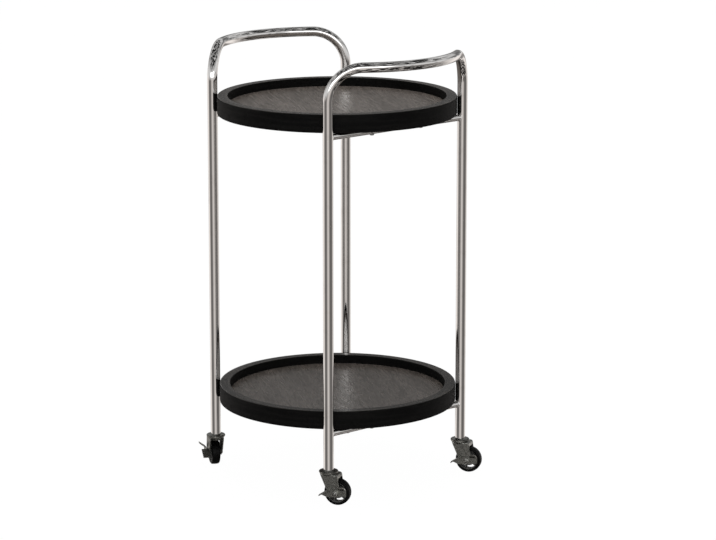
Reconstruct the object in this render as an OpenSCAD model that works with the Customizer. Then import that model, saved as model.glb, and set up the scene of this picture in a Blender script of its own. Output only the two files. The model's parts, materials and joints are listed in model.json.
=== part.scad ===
// Rolling side table. Two bent tube frames carry two round wooden trays on straight
// rails, and roll on four swivel casters, each with a side brake.
// Millimetres, +Z up. The origin is on the floor under the middle of the table, and
// the two handles run along Y, one at +X and one at -X.

/* [Trays] */
// Outer diameter of a tray
tray_d = 450; // [400:5:520]
// Height of a tray's rim
rim_h = 34; // [28:1:46]
// Width of the rim's flat top
rim_w = 20; // [14:1:28]
// Thickness of the floor panel
floor_t = 17.5; // [10:0.5:20]
// How far the floor panel's tongue reaches under the rim
rabbet_w = 5; // [3:0.5:8]
// Thickness of the tongue round the floor panel
tongue_t = 8; // [5:0.5:9.5]
// Radius of the rim's outer top edge
rim_round = 2.5; // [1:0.5:4]
// Radius of the rim's inner top edge and lower edge
edge_round = 1.5; // [0.5:0.5:2.5]
// Height of the upper tray's underside above the floor
upper_z = 693; // [600:1:700]
// Height of the lower tray's underside above the floor
lower_z = 139; // [120:1:220]

/* [Frames] */
// Outer diameter of the frame tube
tube_d = 19; // [17:0.5:22]
// Wall of the frame tube
tube_wall = 1.2; // [1:0.1:2]
// Height of the handles' centre line above the floor
handle_z = 813.5; // [800:0.5:880]
// Centre-line radius of the two bends of a frame
bend_r = 64; // [45:1:80]
// Angle by which each bend turns out from the line between the legs
bow_angle = 36.5; // [25:0.5:45]
// Outer diameter of a tray rail
rail_d = 12; // [10:0.5:15]
// Wall of a tray rail
rail_wall = 1; // [0.8:0.1:1.5]

/* [Tray screws] */
// Distance of each screw from the middle of its rail
screw_y = 60; // [50:5:110]
// Diameter of a screw's shank
screw_d = 4; // [3:0.5:5]
// Diameter of a screw's head
screw_head_d = 8; // [7:0.5:9]
// Height of a screw's head
screw_head_h = 2.4; // [1.5:0.1:3]
// Depth of a screw in the floor panel
screw_grip = 9; // [6:0.5:9]

/* [Caster wheels] */
// Diameter over the tyre
wheel_d = 50; // [46:1:52]
// Width of the tyre
tyre_w = 16; // [12:0.5:18]
// Thickness of the tyre from tread to rim
tyre_t = 6; // [5:0.2:8]
// Radius of the tread's shoulders
tread_round = 3; // [1.5:0.5:3.5]
// Thickness of the hub's rim beside its web
hub_rim_t = 1.8; // [1.4:0.2:2.4]
// Thickness of the hub's web
hub_web_t = 4.4; // [3:0.2:6]
// Outer diameter of the hub's boss
boss_d = 13.6; // [12:0.2:15]
// Number of spokes
spokes = 5; // [4:1:7]
// Width of a spoke
spoke_w = 4.4; // [3:0.2:5]
// Turn of the spokes at rest
spoke_turn = 35; // [0:1:71]
// Inner radius of the openings between the spokes
window_r = 12.5; // [9:0.5:13.5]

/* [Caster forks] */
// Height of a caster from the floor to the leg's end
caster_h = 65.6; // [65:0.2:80]
// Distance of the wheel's axis behind the swivel axis
trail = 18; // [15:1:21]
// Clear width between the fork's legs
fork_gap = 23; // [21:0.5:26]
// Thickness of the fork's steel
fork_t = 2; // [1.5:0.1:2.4]
// Diameter of the round crown that carries the ball race
crown_d = 34; // [32:0.5:36]
// Radius of the fork's end round the axle
fork_end_r = 8; // [7:0.5:9]
// Outer diameter of the cap over the ball race
cap_d = 36; // [34:0.5:40]
// Height of the cap over the crown
cap_h = 4.2; // [4:0.1:5]
// Diameter of a ball in the race
ball_d = 3; // [2.4:0.1:3.2]
// Number of balls in the race
balls = 12; // [8:1:14]
// Diameter of the swivel stem
stem_d = 10; // [8:0.5:11]
// Length of the stem inside the leg
stem_len = 32; // [25:1:40]
// Diameter of the axle bolt
axle_d = 6; // [5:0.5:6.5]
// Outer diameter of the sleeve that the hub turns on
sleeve_d = 8.4; // [7.6:0.1:9]
// Width across the flats of the bolt's head and nut
hex_w = 10; // [9:0.5:11]
// Swivel of each caster at rest: front right, rear right, front left, rear left
rest_turn = [30, 30, 153, 140]; // [0:1:359]

/* [Brake levers] */
// Thickness of the lever's steel
brake_t = 2; // [1.5:0.1:2.5]
// How far the release tab stands out from the fork
release_w = 13; // [10:0.5:16]
// Reach of the release tab in front of the axle
release_reach = 29; // [27:1:33]
// Reach of the locking pedal behind the axle
lock_reach = 20.5; // [17:0.5:24]
// Length of the locking pedal from its bend to its outer edge
pedal_l = 16; // [12:0.5:18]
// Rise of the locking pedal outwards
pedal_rise = 36; // [20:1:50]
// Radius of the lever's eye round the axle
eye_r = 7.5; // [6.5:0.5:8]

/* [Clearances] */
// Gap between the trays and the legs beside them
leg_gap = 0.3; // [0.1:0.1:0.6]
// Gap between pieces that are fixed to each other
seat_gap = 0.1; // [0.05:0.05:0.2]
// Gap between faces that move past each other
side_gap = 0.3; // [0.2:0.05:0.4]
// Radial clearance of a pin or stem in its bore
pin_gap = 0.05; // [0.03:0.01:0.08]

/* [Hidden] */
$fn = 64;

// Casters in the order of rest_turn: name, sign of X, sign of Y, side of the brake
CASTERS = [
  ["front_right", 1, -1, -1],
  ["rear_right", 1, 1, -1],
  ["front_left", -1, -1, 1],
  ["rear_left", -1, 1, 1]
];

tray_r = tray_d / 2;
// The four legs stand on a circle just outside the trays, on its diagonals
leg_xy = (tray_r + leg_gap + tube_d / 2) * cos(45);
leg_end_z = caster_h;
bend_z = handle_z - bend_r;
// The bow between the two bends is one arc that the bends run into
bow_half = leg_xy - bend_r * cos(bow_angle);
bow_r = bow_half / sin(bow_angle);
bow_x = leg_xy + bend_r * sin(bow_angle) - bow_r * cos(bow_angle);
tube_bore = tube_d - 2 * tube_wall;

// Pilot holes are this much deeper than the screws, and the cross in a head is this wide and deep
pilot_spare = 0.5;
cross_w = 1;
cross_deep = 1.2;

// A socket closes over the stem's end, and the stem has a groove near its end
socket_roof = 4;
groove_drop = 7;
groove_h = 2.4;
groove_deep = 0.8;

// Heights and radii of the ball race, and of the stem's foot, which is riveted over below it
wheel_r = wheel_d / 2;
lip_gap = 0.6;
crown_z = caster_h - cap_h - lip_gap;
web_z = crown_z - fork_t;
race_r = crown_d / 2 - 5;
ball_rise = 0.7;
ball_z = crown_z + ball_rise;
rivet_h = 2.2;
rivet_w = 2;
rivet_d = stem_d + 2 * rivet_w;

// The cap's wall, the height of its straight lip, the drop of its shoulders and its flat top
cap_wall = 1.6;
lip_h = 1.8;
cap_drop = 1;
cap_top_w = 1.5;
cap_brow = [2.5, 0.9];

// The fork in its own side view, with u behind the swivel axis
fork_out = fork_gap / 2 + fork_t;
lead_u = 4 - crown_d / 2;
rear_u = trail + 4;
cheek = [trail - 15, wheel_d / 2 + 9];
cheek_r = 4;
skirt_z = wheel_d + 2.4;
shoulder_r = 6;
bend_out_r = 2 * fork_t;
dish_h = 6.5;

// The hub's rim and ribs stop short of the tyre's sides, and draft thins the rim towards its edges
hub_r = wheel_r - tyre_t;
hub_half = fork_gap / 2 - side_gap;
rim_inset = 0.6;
rib_inset = 1;
rib_t = 1.8;
rim_edge_t = 1;

// Bolt and nut, and the places of the lever and the nut along the axle
hex_h = 4;
head_h = 2.4;
thread_spare = 1;
lever_v = fork_out + side_gap;
nut_v = lever_v + brake_t + side_gap;

// Corners of the lever's plate about the axle: the ends of the release tab and the web below it,
// and the heights of the pedal's bend and of the plate's lower edge. The tab narrows outwards
release_tip = [-release_reach, -3.5];
release_root = [-11, 8];
release_web = [-17, -8];
pedal_bend = 6.5;
pedal_lead = 8;
pedal_foot = -4;
pedal_round = 3;
release_taper = 12;
steel = [0.62, 0.62, 0.61];
chrome = [0.80, 0.80, 0.80];
black_wood = [0.10, 0.095, 0.09];

// Direction in which a line touches a circle of radius r about c and one of radius s about p
function lean(p, c, r, side, s = 0) = let (d = p - c) atan2(d[1], d[0]) + side * acos((r - s) / norm(d));

// Point of a circle of radius r about c in direction a
function rim_point(c, r, a) = c + r * [cos(a), sin(a)];

// Points of an arc about c from angle a to angle b
function arc(c, r, a, b, n) = [for (i = [0 : n]) rim_point(c, r, a + (b - a) * i / n)];

// What lies outside a round of radius r in its corner, to be cut from a revolved form
module corner(r) {
  difference() {
    square(r + 1);
    circle(r);
  }
}

// Ring that a tube's path carries
module tube_ring(d, bore) {
  difference() {
    circle(d = d);
    circle(d = bore);
  }
}

// Straight round tube of length h along Z
module tube(d, bore, h) {
  linear_extrude(h) tube_ring(d, bore);
}

// Quarter bend in the XZ plane, from a leg below to the handle above
module quarter_bend() {
  translate([bend_r, 0, bend_z]) rotate([90, 0, 0]) rotate([0, 0, 90])
    rotate_extrude(angle = 90) translate([bend_r, 0]) tube_ring(tube_d, tube_bore);
}

// One leg with the bend that turns out from the chord between the legs
module leg(side) {
  translate([leg_xy, side * leg_xy, 0]) {
    translate([0, 0, leg_end_z]) tube(tube_d, tube_bore, bend_z - leg_end_z);
    rotate([0, 0, -side * (90 - bow_angle)]) quarter_bend();
  }
}

// Frame of one side: two legs, two bends and the bowed handle, one bent tube
module frame() {
  color(chrome) {
    leg(1);
    leg(-1);
    translate([bow_x, 0, handle_z]) rotate([0, 0, -bow_angle])
      rotate_extrude(angle = 2 * bow_angle) translate([bow_r, 0]) tube_ring(tube_d, tube_bore);
  }
}

// Rail under a tray, coped to the two legs of its frame and drilled for two screws
module rail(tray_z) {
  rail_z = tray_z - seat_gap - rail_d / 2;
  color(chrome) difference() {
    translate([leg_xy, leg_xy, rail_z]) rotate([90, 0, 0]) tube(rail_d, rail_d - 2 * rail_wall, 2 * leg_xy);
    for (side = [-1, 1]) {
      translate([leg_xy, side * leg_xy, rail_z - rail_d]) cylinder(d = tube_d + 2 * seat_gap, h = 2 * rail_d);
      translate([leg_xy, side * screw_y, rail_z - rail_d]) cylinder(d = screw_d + 2 * seat_gap, h = 2 * rail_d);
    }
  }
}

// Rim of a tray, with a rabbet below for the floor panel
module rim(z) {
  color(black_wood) translate([0, 0, z]) rotate_extrude($fn = 180) difference() {
    translate([tray_r - rim_w, 0]) square([rim_w, rim_h]);
    translate([0, -1]) square([tray_r - rim_w + rabbet_w, tongue_t + 1]);
    translate([tray_r - rim_round, rim_h - rim_round]) corner(rim_round);
    translate([tray_r - rim_w + edge_round, rim_h - edge_round]) mirror([1, 0]) corner(edge_round);
    translate([tray_r - edge_round, edge_round]) mirror([0, 1]) corner(edge_round);
  }
}

// Floor panel of a tray: a disc with a tongue under the rim, and pilot holes for four screws
module floor_panel(z) {
  color(black_wood * 2) translate([0, 0, z]) difference() {
    union() {
      cylinder(r = tray_r - rim_w - seat_gap, h = floor_t, $fn = 180);
      cylinder(r = tray_r - rim_w + rabbet_w - seat_gap, h = tongue_t, $fn = 180);
    }
    for (x = [-1, 1], y = [-1, 1])
      translate([x * leg_xy, y * screw_y, -1])
        cylinder(d = screw_d + 2 * seat_gap, h = screw_grip + pilot_spare + 1);
  }
}

// Pan head screw through a rail into the floor panel above it
module tray_screw(tray_z) {
  reach = rail_d + 2 * seat_gap;
  translate([0, 0, tray_z - reach]) {
    cylinder(d = screw_d, h = reach + screw_grip);
    difference() {
      intersection() {
        translate([0, 0, -screw_head_h]) cylinder(d = screw_head_d, h = screw_head_h);
        translate([0, 0, screw_head_d - screw_head_h]) sphere(r = screw_head_d);
      }
      for (turn = [0, 90]) rotate([0, 0, turn])
        translate([-screw_head_d / 4, -cross_w / 2, -screw_head_h - 1])
          cube([screw_head_d / 2, cross_w, cross_deep + 1]);
    }
  }
}

// All screws that hold the trays to the rails
module tray_screws() {
  color(steel) for (z = [upper_z, lower_z], x = [-1, 1], y = [-1, 1])
    translate([x * leg_xy, y * screw_y, 0]) tray_screw(z);
}

// Plastic socket pressed into a leg, which grips the stem
module socket() {
  difference() {
    cylinder(d = tube_bore - 2 * seat_gap, h = stem_len + socket_roof);
    translate([0, 0, -1]) cylinder(d = stem_d + 2 * pin_gap, h = stem_len + seat_gap + 1);
  }
}

// Stem of a caster: a pin up into the socket, riveted over below the fork's crown
module stem() {
  foot_z = web_z - side_gap - rivet_h;
  groove_z = leg_end_z + stem_len - groove_drop;
  difference() {
    union() {
      translate([0, 0, foot_z]) cylinder(d = stem_d, h = leg_end_z + stem_len - foot_z);
      translate([0, 0, foot_z]) cylinder(d1 = rivet_d - rivet_h, d2 = rivet_d, h = rivet_h / 2);
      translate([0, 0, foot_z + rivet_h / 2]) cylinder(d = rivet_d, h = rivet_h / 2);
    }
    translate([0, 0, groove_z]) tube(stem_d + 2, stem_d - 2 * groove_deep, groove_h);
  }
}

// Cap over the ball race: a dished disc whose lip comes down round the balls
module cap() {
  bore_r = stem_d / 2 + pin_gap;
  top_r = tube_d / 2 + cap_top_w;
  out_r = cap_d / 2;
  in_r = out_r - cap_wall;
  roof_z = ball_z + ball_d / 2 + side_gap;
  lip_z = crown_z + lip_gap;
  top_z = leg_end_z - seat_gap;
  rotate_extrude() polygon([
    [bore_r, roof_z], [in_r - cap_drop, roof_z], [in_r, roof_z - cap_drop], [in_r, lip_z], [out_r, lip_z],
    [out_r, lip_z + lip_h], [out_r - cap_drop, lip_z + lip_h + cap_drop],
    [top_r + cap_brow[0], top_z - cap_brow[1]], [top_r, top_z], [bore_r, top_z]
  ]);
}

// Children at a leg's axis, for each of the four legs
module at_legs(z = 0) {
  for (x = [-1, 1], y = [-1, 1]) translate([x * leg_xy, y * leg_xy, z]) children();
}

// Children placed as one caster: u behind the swivel, v to its left, on the floor
module at_caster(i) {
  c = CASTERS[i];
  translate([c[1] * leg_xy, c[2] * leg_xy, 0]) rotate([0, 0, rest_turn[i]]) children();
}

// Children about a wheel's axis, which lies along Z, with the brake's side at +Z
module at_axle(i) {
  side = CASTERS[i][3];
  at_caster(i) translate([trail, 0, wheel_r]) rotate([-side * 90, 0, 0]) children();
}

// Outline of a fork's leg in side view: it slopes from the crown to a cheek in front of the wheel,
// and both edges run into the round end at the axle
module fork_side() {
  axle = [trail, wheel_r];
  lead = [lead_u, crown_z];
  rear = [rear_u, crown_z - shoulder_r];
  below = lean(cheek, axle, fork_end_r, 1, cheek_r);
  polygon(concat(
    [lead], arc(cheek, cheek_r, lean(lead, cheek, cheek_r, 1), below, 6),
    [rim_point(axle, fork_end_r, below), axle, rim_point(axle, fork_end_r, lean(rear, axle, fork_end_r, -1))],
    arc(rear - [shoulder_r, 0], shoulder_r, 0, 90, 6)
  ));
  translate(axle) circle(fork_end_r);
}

// Section across the fork: upright legs under a web with rounded edges
module fork_section(half, top, r) {
  translate([-half, 0]) square([2 * half, top - r]);
  translate([r - half, 0]) square([2 * (half - r), top]);
  for (side = [-1, 1]) translate([side * (half - r), top - r]) circle(r);
}

// Length of the fork's section from u = -crown_d to the given end
module fork_run(half, top, r, end_u) {
  translate([-crown_d, 0, 0]) rotate([90, 0, 90]) linear_extrude(end_u + crown_d) fork_section(half, top, r);
}

// Stamped fork: legs, shoulder over the wheel and round dished crown with the ball race
module fork(i) {
  color(steel) at_caster(i) difference() {
    union() {
      difference() {
        intersection() {
          translate([0, fork_out + 1, 0]) rotate([90, 0, 0]) linear_extrude(2 * fork_out + 2) fork_side();
          fork_run(fork_out, crown_z, bend_out_r, trail + fork_end_r + 1);
        }
        fork_run(fork_gap / 2, web_z, bend_out_r - fork_t, rear_u - fork_t);
        translate([-crown_d, -fork_gap / 2, -1]) cube([3 * crown_d, fork_gap, skirt_z + 1]);
      }
      rotate_extrude() polygon([
        [stem_d / 2, web_z], [crown_d / 2 - fork_t, web_z], [fork_gap / 2 - 1, crown_z - dish_h],
        [fork_out - 1, crown_z - dish_h], [crown_d / 2, crown_z - fork_t / 2],
        [crown_d / 2, crown_z], [stem_d / 2, crown_z]
      ]);
    }
    translate([0, 0, web_z - 1]) cylinder(d = stem_d + 2 * pin_gap, h = fork_t + 2);
    translate([0, 0, ball_z]) rotate_extrude() translate([race_r, 0]) circle(d = ball_d + 2 * pin_gap);
    translate([trail, 0, wheel_r]) rotate([90, 0, 0]) cylinder(d = axle_d + 2 * pin_gap, h = 4 * fork_out, center = true);
  }
}

// Balls that the fork swivels on
module race_balls(i) {
  color("silver") at_caster(i) for (k = [0 : balls - 1])
    rotate([0, 0, 360 * k / balls]) translate([race_r, 0, ball_z]) sphere(d = ball_d, $fn = 32);
}

// Sleeve between the fork's legs, which the hub turns on
module sleeve(i) {
  length = fork_gap - 2 * seat_gap;
  color(steel) at_axle(i) translate([0, 0, -length / 2]) tube(sleeve_d, axle_d + 2 * pin_gap, length);
}

// Axle bolt, with its hexagon head on the side without a brake
module axle_bolt(i) {
  head_v = fork_out + seat_gap;
  color(steel) at_axle(i) {
    translate([0, 0, -head_v]) cylinder(d = axle_d, h = head_v + nut_v + hex_h + thread_spare);
    translate([0, 0, -head_v - head_h]) cylinder(d = hex_w / cos(30), h = head_h, $fn = 6);
  }
}

// Nut that holds the brake lever on the axle bolt
module axle_nut(i) {
  color(steel) at_axle(i) translate([0, 0, nut_v]) difference() {
    cylinder(d = hex_w / cos(30), h = hex_h, $fn = 6);
    translate([0, 0, -1]) cylinder(d = axle_d + pin_gap, h = hex_h + 2);
  }
}

// Openings between the spokes, from the boss to the rim of the hub
module hub_windows() {
  difference() {
    circle(hub_r - hub_rim_t);
    circle(window_r);
    for (k = [0 : spokes - 1]) rotate([0, 0, spoke_turn + 360 * k / spokes])
      translate([0, -spoke_w / 2]) square([hub_r, spoke_w]);
  }
}

// Moulded hub: boss, web with ribbed spokes, and rim
module hub(i) {
  rim_half = tyre_w / 2 - rim_inset;
  rib_half = rim_half - rib_inset;
  color([0.55, 0.55, 0.54]) at_axle(i) difference() {
    union() {
      rotate_extrude() {
        translate([0, -hub_half]) square([boss_d / 2, 2 * hub_half]);
        translate([0, -hub_web_t / 2]) square([hub_r, hub_web_t]);
        polygon([
          [hub_r, -rim_half], [hub_r, rim_half], [hub_r - rim_edge_t, rim_half],
          [hub_r - hub_rim_t, hub_web_t / 2], [hub_r - hub_rim_t, -hub_web_t / 2], [hub_r - rim_edge_t, -rim_half]
        ]);
      }
      for (k = [0 : spokes - 1]) rotate([0, 0, spoke_turn + 360 * k / spokes])
        translate([boss_d / 4 + sleeve_d / 4, -rib_t / 2, -rib_half])
          cube([hub_r - hub_rim_t / 2 - boss_d / 4 - sleeve_d / 4, rib_t, 2 * rib_half]);
    }
    translate([0, 0, -hub_half - 1]) cylinder(d = sleeve_d + 2 * pin_gap, h = 2 * hub_half + 2);
    translate([0, 0, -hub_web_t]) linear_extrude(2 * hub_web_t) hub_windows();
  }
}

// Rubber tyre on the hub's rim
module tyre(i) {
  half = tyre_w / 2;
  color([0.05, 0.05, 0.05]) at_axle(i) rotate_extrude($fn = 96) difference() {
    translate([hub_r + pin_gap, -half]) square([tyre_t - pin_gap, 2 * half]);
    for (side = [0, 1]) mirror([0, side])
      translate([wheel_r - tread_round, half - tread_round]) corner(tread_round);
  }
}

// Unit normal of the line from a to b
function normal(a, b) = [a[1] - b[1], b[0] - a[0]] / norm(b - a);

// Offset direction at point k of a bent line, mitred where two runs meet
function miter(points, k) =
  let (last = len(points) - 1, m = normal(points[max(k - 1, 0)], points[max(k, 1)]),
       n = normal(points[min(k, last - 1)], points[min(k + 1, last)]))
  (m + n) / (1 + m * n);

// Bent strip of the lever's steel in side view, along the given points
module strip(points) {
  last = len(points) - 1;
  polygon(concat(
    [for (k = [0 : last]) points[k] + brake_t / 2 * miter(points, k)],
    [for (k = [last : -1 : 0]) points[k] - brake_t / 2 * miter(points, k)]
  ));
}

// Plate of the lever flat on the fork: the eye, the web of the release tab and the pedal's root
module lever_plate() {
  circle(eye_r);
  polygon([release_root, release_tip, release_web,
           rim_point([0, 0], eye_r, lean(release_web, [0, 0], eye_r, 1)),
           rim_point([0, 0], eye_r, lean(release_root, [0, 0], eye_r, -1))]);
  polygon([[0, -eye_r + 1], [lock_reach, pedal_foot], [lock_reach, pedal_bend], [0, pedal_bend]]);
}

// Pedal that bends out of the plate's upper edge and rises outwards, with rounded outer corners
module pedal() {
  far = pedal_l * cos(pedal_rise);
  bend = [brake_t / 2, pedal_bend];
  length = lock_reach - pedal_lead;
  intersection() {
    translate([lock_reach, 0, 0]) rotate([0, -90, 0]) linear_extrude(length)
      strip([[brake_t / 2, pedal_foot / 2], bend, bend + pedal_l * [cos(pedal_rise), sin(pedal_rise)]]);
    translate([pedal_lead, pedal_foot, 0]) rotate([-90, 0, 0]) linear_extrude(pedal_l - pedal_foot) mirror([0, 1]) {
      square([length, far - pedal_round]);
      translate([pedal_round, 0]) square([length - 2 * pedal_round, far]);
      for (u = [pedal_round, length - pedal_round]) translate([u, far - pedal_round]) circle(pedal_round);
    }
  }
}

// Brake lever: an eye on the axle bolt between a release tab in front and a locking pedal behind
module brake(i) {
  side = CASTERS[i][3];
  color(steel) at_caster(i) translate([trail, 0, wheel_r]) rotate([90, 0, 0])
    mirror([0, 0, (1 + side) / 2]) translate([0, 0, lever_v]) {
    difference() {
      linear_extrude(brake_t) lever_plate();
      translate([0, 0, -1]) cylinder(d = axle_d + 2 * pin_gap, h = brake_t + 2);
    }
    difference() {
      linear_extrude(release_w) strip([release_tip, release_root]);
      translate([-release_reach - brake_t, -release_reach, brake_t]) rotate([0, release_taper, 0])
        translate([-release_reach, 0, -release_w]) cube([release_reach, 2 * release_reach, 3 * release_w]);
    }
    pedal();
  }
}

frame();  // right_frame
rotate([0, 0, 180]) frame();  // left_frame
rail(upper_z);  // right_upper_rail
rail(lower_z);  // right_lower_rail
rotate([0, 0, 180]) rail(upper_z);  // left_upper_rail
rotate([0, 0, 180]) rail(lower_z);  // left_lower_rail
rim(upper_z);  // upper_rim
floor_panel(upper_z);  // upper_floor
rim(lower_z);  // lower_rim
floor_panel(lower_z);  // lower_floor
tray_screws();
color("white") at_legs(leg_end_z) socket();  // leg_sockets
color(steel) at_legs() stem();  // caster_stems
color(chrome) at_legs() cap();  // caster_caps
for (i = [0 : 3]) {
  fork(i);
  race_balls(i);
  sleeve(i);
  axle_bolt(i);
  axle_nut(i);
  hub(i);
  tyre(i);
  brake(i);
}
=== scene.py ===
"""Looks of a rolling side table.

Two bent chrome tubes with bowed handles carry two round black stained trays, and four small
swivel casters with side brake levers carry the tubes. Every length is in metres, in the frame
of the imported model: +Z up, origin on the floor under the middle of the table.
"""

from __future__ import annotations

import json
import logging
import math
from dataclasses import dataclass
from enum import Enum
from typing import Iterable, Sequence

import bmesh
import bpy
import numpy as np
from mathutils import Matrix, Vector

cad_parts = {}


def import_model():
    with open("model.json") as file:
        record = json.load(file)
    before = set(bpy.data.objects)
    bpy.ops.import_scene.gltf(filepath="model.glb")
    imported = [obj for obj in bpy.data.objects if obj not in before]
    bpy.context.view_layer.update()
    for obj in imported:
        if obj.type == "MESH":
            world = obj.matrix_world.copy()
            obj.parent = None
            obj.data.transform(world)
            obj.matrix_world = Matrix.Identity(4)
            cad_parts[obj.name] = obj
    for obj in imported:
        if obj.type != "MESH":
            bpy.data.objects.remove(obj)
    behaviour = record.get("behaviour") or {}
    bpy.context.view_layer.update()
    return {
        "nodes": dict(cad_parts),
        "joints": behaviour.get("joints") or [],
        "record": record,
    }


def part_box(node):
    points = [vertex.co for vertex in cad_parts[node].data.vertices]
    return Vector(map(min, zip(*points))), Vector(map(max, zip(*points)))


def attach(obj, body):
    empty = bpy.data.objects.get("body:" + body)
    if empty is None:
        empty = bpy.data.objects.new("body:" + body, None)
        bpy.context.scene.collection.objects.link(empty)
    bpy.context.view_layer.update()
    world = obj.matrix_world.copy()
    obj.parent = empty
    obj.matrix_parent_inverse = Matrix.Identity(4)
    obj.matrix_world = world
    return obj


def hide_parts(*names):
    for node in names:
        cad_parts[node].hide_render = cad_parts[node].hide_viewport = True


LOG = logging.getLogger("side_table")
TAU = 2.0 * math.pi
MM = 0.001
# Name of the UV map that every new piece has
ALONG = "Along"
# Distance under which doubles are merged
WELD = 1e-6
# Radius of a pole before its doubles are merged, and the least difference that counts
TINY = 1e-7
# Edges of new pieces that turn more than this stay sharp
SHARP = math.radians(38)

Triple = tuple[float, float, float]
Pair = tuple[float, float]
Socket = bpy.types.NodeSocket


class Slot(Enum):
    """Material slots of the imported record."""

    CHROME = "chrome"
    RIM_WOOD = "rim_wood"
    FLOOR_WOOD = "floor_wood"
    ZINC_PLATE = "zinc_plate"
    PLATED_STEEL = "plated_steel"
    BALL_STEEL = "ball_steel"
    HUB_PLASTIC = "hub_plastic"
    TYRE_RUBBER = "tyre_rubber"
    SOCKET_NYLON = "socket_nylon"


@dataclass
class Surface:
    """A mesh held as arrays: points (n, 3), quads (m, 4) and a UV pair for each quad corner."""

    points: np.ndarray
    quads: np.ndarray
    uv: np.ndarray

    @staticmethod
    def grid(points: np.ndarray, along: np.ndarray, around: np.ndarray, wrap_rows: bool = False,
             wrap_cols: bool = True, flip: bool = False) -> "Surface":
        """Skins a grid of points, one quad between each two rows and columns.

        Args:
            points: array (rows, cols, 3).
            along: V of each row, with one more value where the rows wrap.
            around: U of each column, with one more value where the columns wrap.
            wrap_rows: joins the last row to the first.
            wrap_cols: joins the last column to the first.
            flip: turns the faces over.

        Returns:
            The skinned surface.
        """
        rows, cols = points.shape[:2]
        i = np.arange(rows if wrap_rows else rows - 1)[:, None]
        j = np.arange(cols if wrap_cols else cols - 1)[None, :]
        i_next, j_next = (i + 1) % rows, (j + 1) % cols
        corners = [i * cols + j, i * cols + j_next, i_next * cols + j_next, i_next * cols + j]
        quads = np.stack(np.broadcast_arrays(*corners), -1).reshape(-1, 4)
        u = np.stack(np.broadcast_arrays(around[j], around[j + 1], around[j + 1], around[j]), -1)
        v = np.stack(np.broadcast_arrays(along[i], along[i], along[i + 1], along[i + 1]), -1)
        u, v = np.broadcast_arrays(u, v)
        uv = np.stack([u, v], -1).reshape(-1, 4, 2)
        if flip:
            quads, uv = quads[:, ::-1], uv[:, ::-1]
        return Surface(points.reshape(-1, 3), quads, uv)

    @staticmethod
    def joined(parts: Iterable["Surface"]) -> "Surface":
        """Puts several surfaces into one.

        Args:
            parts: the surfaces.

        Returns:
            One surface with all of their faces.
        """
        found = list(parts)
        starts = np.cumsum([0] + [len(p.points) for p in found[:-1]])
        return Surface(np.concatenate([p.points for p in found]),
                       np.concatenate([p.quads + s for p, s in zip(found, starts)]),
                       np.concatenate([p.uv for p in found]))

    def placed(self, origin: Sequence[float], x: Sequence[float], y: Sequence[float],
               z: Sequence[float]) -> "Surface":
        """Carries the surface into a frame with the given origin and axes.

        Args:
            origin: where the surface's own origin goes.
            x: unit vector of its own X axis.
            y: unit vector of its own Y axis.
            z: unit vector of its own Z axis.

        Returns:
            A surface with the same faces.
        """
        axes = np.array([x, y, z], float)
        return Surface(self.points @ axes + np.array(origin, float), self.quads, self.uv)

    def to_object(self, name: str, weld: bool = False) -> bpy.types.Object:
        """Makes the Blender object, at the origin, with smooth shading and area weighted normals.

        Args:
            name: the piece's name.
            weld: merges doubles, which closes poles.

        Returns:
            The linked object.
        """
        mesh = bpy.data.meshes.new(name)
        mesh.vertices.add(len(self.points))
        mesh.vertices.foreach_set("co", self.points.astype(np.float32).ravel())
        mesh.loops.add(self.quads.size)
        mesh.loops.foreach_set("vertex_index", self.quads.astype(np.int32).ravel())
        mesh.polygons.add(len(self.quads))
        mesh.polygons.foreach_set("loop_start", np.arange(0, self.quads.size, 4, dtype=np.int32))
        layer = mesh.uv_layers.new(name=ALONG)
        layer.data.foreach_set("uv", self.uv.astype(np.float32).ravel())
        mesh.update(calc_edges=True)
        if weld:
            work = bmesh.new()
            work.from_mesh(mesh)
            bmesh.ops.remove_doubles(work, verts=work.verts, dist=WELD)
            work.to_mesh(mesh)
            work.free()
        mesh.validate()
        mesh.shade_smooth()
        mesh.set_sharp_from_angle(angle=SHARP)
        obj = bpy.data.objects.new(name, mesh)
        bpy.context.scene.collection.objects.link(obj)
        weights = obj.modifiers.new("Area weighted normals", "WEIGHTED_NORMAL")
        weights.keep_sharp = True
        return obj


def turn_angles(count: int) -> np.ndarray:
    """Angles of the columns round a full turn, without the last."""
    return np.arange(count) * TAU / count


def lathe(profile: np.ndarray, count: int, ripple: np.ndarray | None = None) -> Surface:
    """Revolves a closed profile about Z: x = r cos a, y = r sin a.

    Args:
        profile: closed outline, array (k, 2) of radius and height, in either direction.
        count: number of columns round the axis.
        ripple: optional array (k, count) that is added to the radius.

    Returns:
        The closed surface, with faces outwards. U is the arc length at the largest radius and
        V is the length along the profile.
    """
    angle = turn_angles(count)
    radius = np.repeat(profile[:, :1], count, 1)
    if ripple is not None:
        radius = radius + ripple
    points = np.stack([radius * np.cos(angle), radius * np.sin(angle),
                       np.repeat(profile[:, 1:], count, 1)], -1)
    step = np.linalg.norm(np.roll(profile, -1, 0) - profile, axis=1)
    around = np.append(angle, TAU) * profile[:, 0].max()
    x, z = profile[:, 0], profile[:, 1]
    area = np.sum(x * np.roll(z, -1) - np.roll(x, -1) * z)
    return Surface.grid(points, np.append(0.0, np.cumsum(step)), around, wrap_rows=True, flip=area < 0)


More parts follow.
